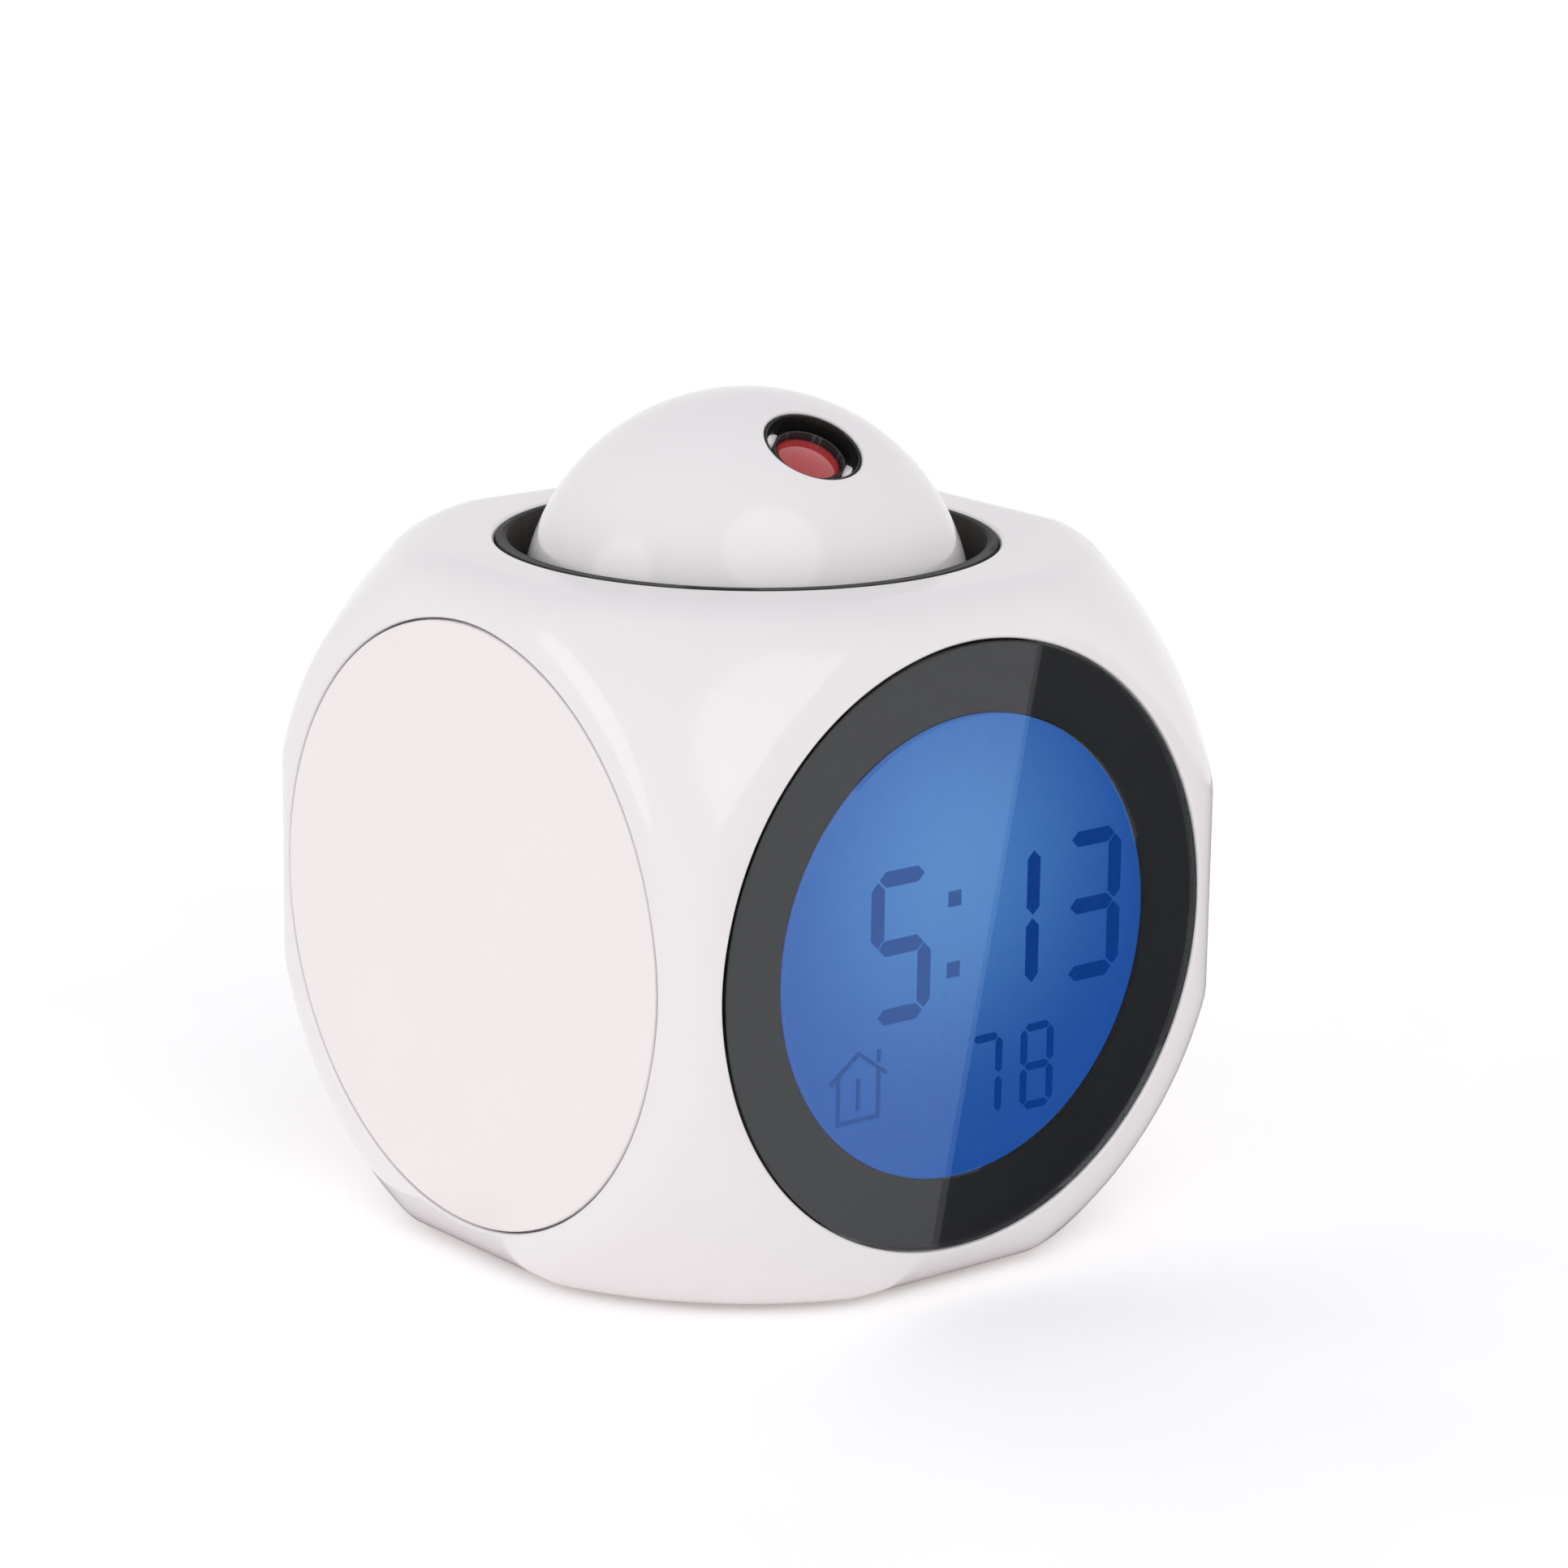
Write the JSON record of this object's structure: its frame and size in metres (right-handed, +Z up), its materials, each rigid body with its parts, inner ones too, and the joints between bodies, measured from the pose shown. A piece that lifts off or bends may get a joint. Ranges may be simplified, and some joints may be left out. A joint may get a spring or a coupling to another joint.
{
  "type": "projection alarm clock",
  "caption": "Rounded cube alarm clock with a round front display and a turning, pressable projector ball in a dark well on top.",
  "frame": {"origin": "on the floor under the middle of the cube, where its four feet rest", "axes": "+Z up, -Y towards the front with the display, +X to the display's right"},
  "size_m": [0.086, 0.087, 0.1042],
  "materials": {
    "shell_white": "glossy white ABS with soft blended edges",
    "disc_white": "satin white ABS",
    "window_clear": "clear flat acrylic",
    "bezel_black": "black surround behind the window",
    "lcd_blue": "blue backlit display glass",
    "lcd_mark": "dark display segments",
    "guide_white": "milky acrylic light guide",
    "lamp_yellow": "lamp package",
    "contact_grey": "striped conductive rubber",
    "board_green": "solder-masked glass-fibre board",
    "resin_black": "black potting resin",
    "parts_grey": "board components",
    "screw_steel": "zinc-plated steel",
    "switch_black": "moulded switch bodies",
    "key_white": "glossy white keys",
    "plunger_grey": "switch plungers",
    "basket_steel": "plated pressed steel",
    "cone_film": "formed speaker cone",
    "magnet_grey": "ferrite magnet",
    "base_white": "satin white ABS",
    "foot_rubber": "soft grey feet",
    "cell_sleeve": "plain sleeve with a bright end",
    "contact_nickel": "nickel-plated contacts",
    "well_black": "satin black well lining",
    "frame_white": "natural acetal",
    "spring_steel": "bright spring wire",
    "ball_white": "glossy white ABS",
    "tube_black": "black lens housing",
    "lens_red": "red-tinted acrylic lens",
    "ear_white": "white focus ring",
    "film_dark": "liquid-crystal projection film",
    "optic_clear": "clear condenser",
    "lamp_red": "red lamp"
  },
  "bodies": {
    "housing": {"body_shell": "shell_white", "left_disc": "disc_white", "right_disc": "disc_white", "front_window": "window_clear", "display_bezel": "bezel_black", "lcd_panel": "lcd_blue", "lcd_segments": "lcd_mark", "light_guide": "guide_white", "backlight_lamps": "lamp_yellow", "contact_strip": "contact_grey", "main_board": "board_green", "main_chip": "resin_black", "board_parts": "parts_grey", "board_screws": "screw_steel", "rear_panel": "disc_white", "key_switches": "switch_black", "key_board": "board_green", "key_board_screws": "screw_steel", "speaker_basket": "basket_steel", "speaker_cone": "cone_film", "speaker_magnet": "magnet_grey", "base_plate": "base_white", "base_screws": "screw_steel", "rubber_feet": "foot_rubber", "front_cell": "cell_sleeve", "middle_cell": "cell_sleeve", "rear_cell": "cell_sleeve", "battery_contacts": "contact_nickel", "battery_springs": "contact_nickel", "well_ring": "well_black", "chassis": "frame_white", "chassis_screws": "screw_steel", "press_board": "board_green", "press_switch": "switch_black", "return_springs": "spring_steel"},
    "carriage": {"press_carriage": "frame_white", "press_plunger": "plunger_grey"},
    "ball": {"ball_dome": "ball_white", "turntable": "frame_white", "dome_screws": "screw_steel", "hub_clip": "screw_steel", "projector_tube": "tube_black", "lamp_board": "board_green", "projector_lamp": "lamp_red", "condenser_lens": "optic_clear", "projection_film": "film_dark"},
    "focus": {"lens_barrel": "tube_black", "focus_ring": "ear_white", "projector_lens": "lens_red"},
    "mode_button": {"mode_key": "key_white", "mode_plunger": "plunger_grey"},
    "set_button": {"set_key": "key_white", "set_plunger": "plunger_grey"},
    "up_button": {"up_key": "key_white", "up_plunger": "plunger_grey"},
    "down_button": {"down_key": "key_white", "down_plunger": "plunger_grey"},
    "door": {"battery_door": "base_white"}
  },
  "joints": [
    {"name": "ball_press", "type": "slide", "parent": "housing", "child": "carriage", "axis": [0, 0, -1], "range_m": [0, 0.002], "stiffness_N_per_m": 1000, "springref_m": -0.0012, "deforming": ["return_springs"]},
    {"name": "ball_turn", "type": "hinge", "parent": "carriage", "child": "ball", "pos_m": [0, 0, 0.0668], "axis": [0, 0, 1], "range_deg": [-85.3, 94.7]},
    {"name": "lens_focus", "type": "hinge", "parent": "ball", "child": "focus", "pos_m": [0, 0, 0.07635], "axis": [-0.0422, -0.5133, 0.8572], "range_deg": [-30, 30]},
    {"name": "mode_press", "type": "slide", "parent": "housing", "child": "mode_button", "axis": [0, -1, 0], "range_m": [0, 0.0007], "stiffness_N_per_m": 1500, "springref_m": -0.0004},
    {"name": "set_press", "type": "slide", "parent": "housing", "child": "set_button", "axis": [0, -1, 0], "range_m": [0, 0.0007], "stiffness_N_per_m": 1500, "springref_m": -0.0004},
    {"name": "up_press", "type": "slide", "parent": "housing", "child": "up_button", "axis": [0, -1, 0], "range_m": [0, 0.0007], "stiffness_N_per_m": 1500, "springref_m": -0.0004},
    {"name": "down_press", "type": "slide", "parent": "housing", "child": "down_button", "axis": [0, -1, 0], "range_m": [0, 0.0007], "stiffness_N_per_m": 1500, "springref_m": -0.0004},
    {"name": "door_lift", "type": "slide", "parent": "housing", "child": "door", "axis": [0, 0, -1], "range_m": [0, 0.01]}
  ]
}
